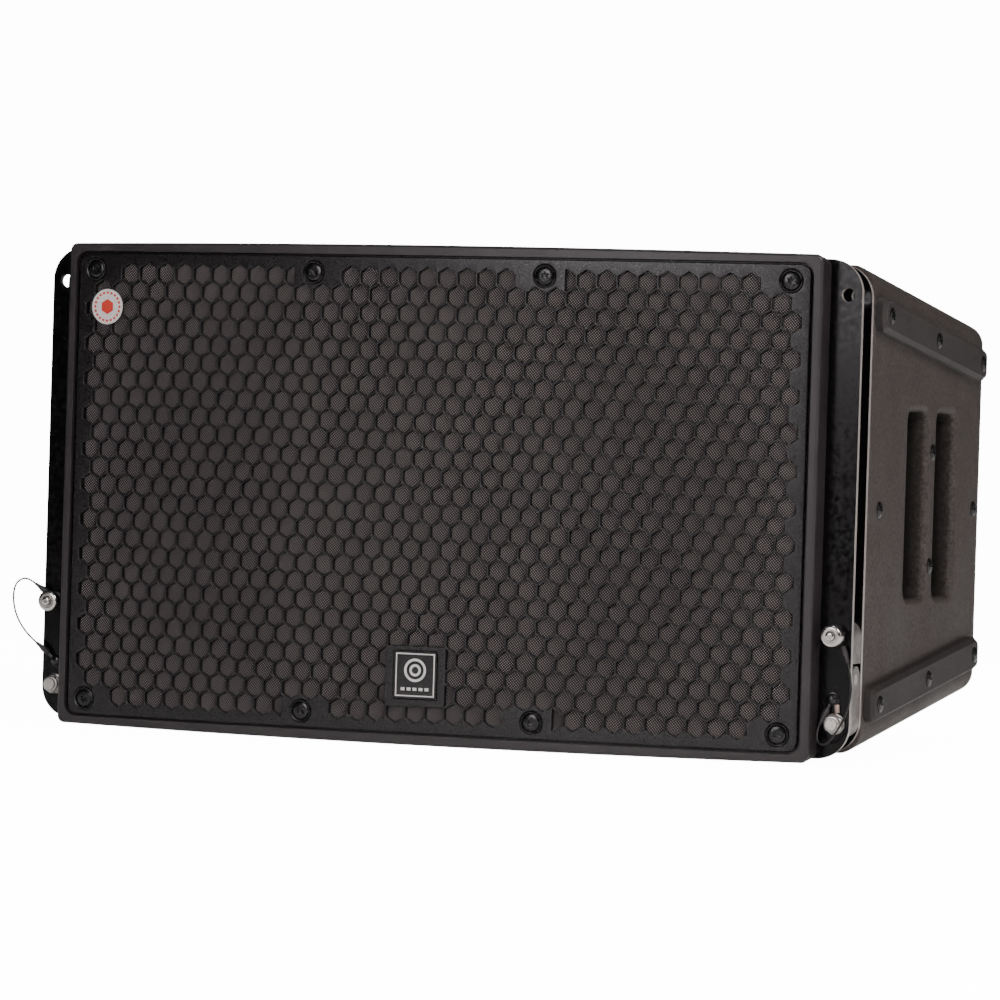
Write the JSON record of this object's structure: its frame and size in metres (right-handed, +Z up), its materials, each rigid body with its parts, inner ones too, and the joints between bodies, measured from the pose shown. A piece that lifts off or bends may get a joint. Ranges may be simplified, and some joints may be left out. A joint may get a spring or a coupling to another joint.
{
  "type": "line array speaker",
  "caption": "Tapered wide loudspeaker cabinet for a hung array, with a curved hexagon grille, side rigging plates, swinging links and quick release pins.",
  "frame": {"origin": "bottom centre of the bounding box, on the surface that the front frame's lower edge stands on", "axes": "-Y is the front with the grille, +X is the speaker's right side as seen from the front, +Z is up"},
  "size_m": [0.6576, 0.3864, 0.3588],
  "materials": {
    "painted_plywood": "fine textured black paint over birch plywood",
    "bezel_plastic": "satin moulded black",
    "grille_steel": "satin black powder coat",
    "grille_cloth": "black woven cloth",
    "gloss_black_steel": "gloss black enamel",
    "black_screw": "black oxide",
    "zinc_steel": "bright zinc",
    "pin_steel": "bright turned steel",
    "link_steel": "dark satin zinc",
    "skid_plastic": "satin black",
    "cup_plastic": "matt black",
    "cone_paper": "coated paper",
    "surround_rubber": "matt",
    "cast_frame": "black painted casting",
    "heat_sink_black": "black anodised",
    "motor_iron": "black ferrite and plated steel",
    "coil_copper": "enamelled copper wire",
    "horn_plastic": "moulded matt black",
    "lining": "grey polyester wadding",
    "panel_black": "fine textured black",
    "connector_plastic": "satin black nylon",
    "control_plastic": "matt black",
    "light_lens": "clear tinted lens",
    "board_green": "solder mask",
    "supply_metal": "varnished windings and capacitor cans",
    "lanyard_wire": "dark plastic coated wire rope",
    "badge_plate": null,
    "label_white": "printed vinyl"
  },
  "bodies": {
    "root": {"cabinet_top": "painted_plywood", "cabinet_bottom": "painted_plywood", "cabinet_side_left": "painted_plywood", "cabinet_side_right": "painted_plywood", "front_baffle": "painted_plywood", "rear_panel": "painted_plywood", "internal_braces": "painted_plywood", "bezel_frame": "bezel_plastic", "grille": "grille_steel", "grille_fabric": "grille_cloth", "grille_cup_washers": "black_screw", "grille_screws": "black_screw", "badge": "badge_plate", "round_label": "label_white", "woofer_baskets": "cast_frame", "woofer_motors": "motor_iron", "woofer_surrounds": "surround_rubber", "woofer_spiders": "grille_cloth", "waveguide_horn": "horn_plastic", "compression_drivers": "motor_iron", "bass_ports": "horn_plastic", "damping_pads": "lining", "amplifier_panel": "panel_black", "heat_sink": "heat_sink_black", "power_connectors": "connector_plastic", "signal_connectors": "connector_plastic", "control_housings": "control_plastic", "status_lights": "light_lens", "amplifier_screws": "black_screw", "amplifier_board": "board_green", "power_supply": "supply_metal", "rear_rigging_brackets": "gloss_black_steel", "handle_cups": "cup_plastic", "skids": "skid_plastic", "side_screws": "black_screw", "rigging_plate_front_left": "gloss_black_steel", "rigging_plate_front_right": "gloss_black_steel", "rigging_plates_back": "gloss_black_steel", "rigging_bolts": "black_screw", "pivot_bolts": "zinc_steel", "pivot_nuts": "zinc_steel", "lanyard_wire_left": "lanyard_wire", "lanyard_wire_right": "lanyard_wire", "lanyard_anchors": "zinc_steel"},
    "link_left": {"link_arm_left": "link_steel", "link_hook_left": "link_steel", "knuckle_pin_left": "zinc_steel"},
    "pin_left": {"locking_pin_left": "pin_steel"},
    "button_left": {"pin_button_left": "pin_steel"},
    "cone_left": {"woofer_cone_left": "cone_paper", "voice_coil_left": "coil_copper"},
    "link_right": {"link_arm_right": "link_steel", "link_hook_right": "link_steel", "knuckle_pin_right": "zinc_steel"},
    "pin_right": {"locking_pin_right": "pin_steel"},
    "button_right": {"pin_button_right": "pin_steel"},
    "cone_right": {"woofer_cone_right": "cone_paper", "voice_coil_right": "coil_copper"},
    "knob": {"level_knob": "control_plastic"},
    "switch": {"power_switch": "control_plastic"}
  },
  "joints": [
    {"name": "link_swing_left", "type": "hinge", "parent": "root", "child": "link_left", "pos_m": [-0.3033, -0.14205, 0.029], "axis": [0, -1, 0], "range_deg": [0, 180]},
    {"name": "pin_pull_left", "type": "slide", "parent": "root", "child": "pin_left", "axis": [0, -1, 0], "range_m": [0, 0.04]},
    {"name": "button_push_left", "type": "slide", "parent": "pin_left", "child": "button_left", "axis": [0, 1, 0], "range_m": [0, 0.0025], "stiffness_N_per_m": 800},
    {"name": "cone_travel_left", "type": "slide", "parent": "root", "child": "cone_left", "axis": [0, -1, 0], "range_m": [-0.004, 0.004], "stiffness_N_per_m": 3000},
    {"name": "link_swing_right", "type": "hinge", "parent": "root", "child": "link_right", "pos_m": [0.3033, -0.14205, 0.029], "axis": [0, 1, 0], "range_deg": [0, 180]},
    {"name": "pin_pull_right", "type": "slide", "parent": "root", "child": "pin_right", "axis": [0, -1, 0], "range_m": [0, 0.04]},
    {"name": "button_push_right", "type": "slide", "parent": "pin_right", "child": "button_right", "axis": [0, 1, 0], "range_m": [0, 0.0025], "stiffness_N_per_m": 800},
    {"name": "cone_travel_right", "type": "slide", "parent": "root", "child": "cone_right", "axis": [0, -1, 0], "range_m": [-0.004, 0.004], "stiffness_N_per_m": 3000},
    {"name": "level_turn", "type": "hinge", "parent": "root", "child": "knob", "pos_m": [0.084, 0.1722, 0.1234], "axis": [0, 1, 0], "range_deg": [-140, 140]},
    {"name": "switch_rock", "type": "hinge", "parent": "root", "child": "switch", "pos_m": [0.148, 0.1672, 0.1234], "axis": [1, 0, 0], "range_deg": [-20, 0]}
  ]
}
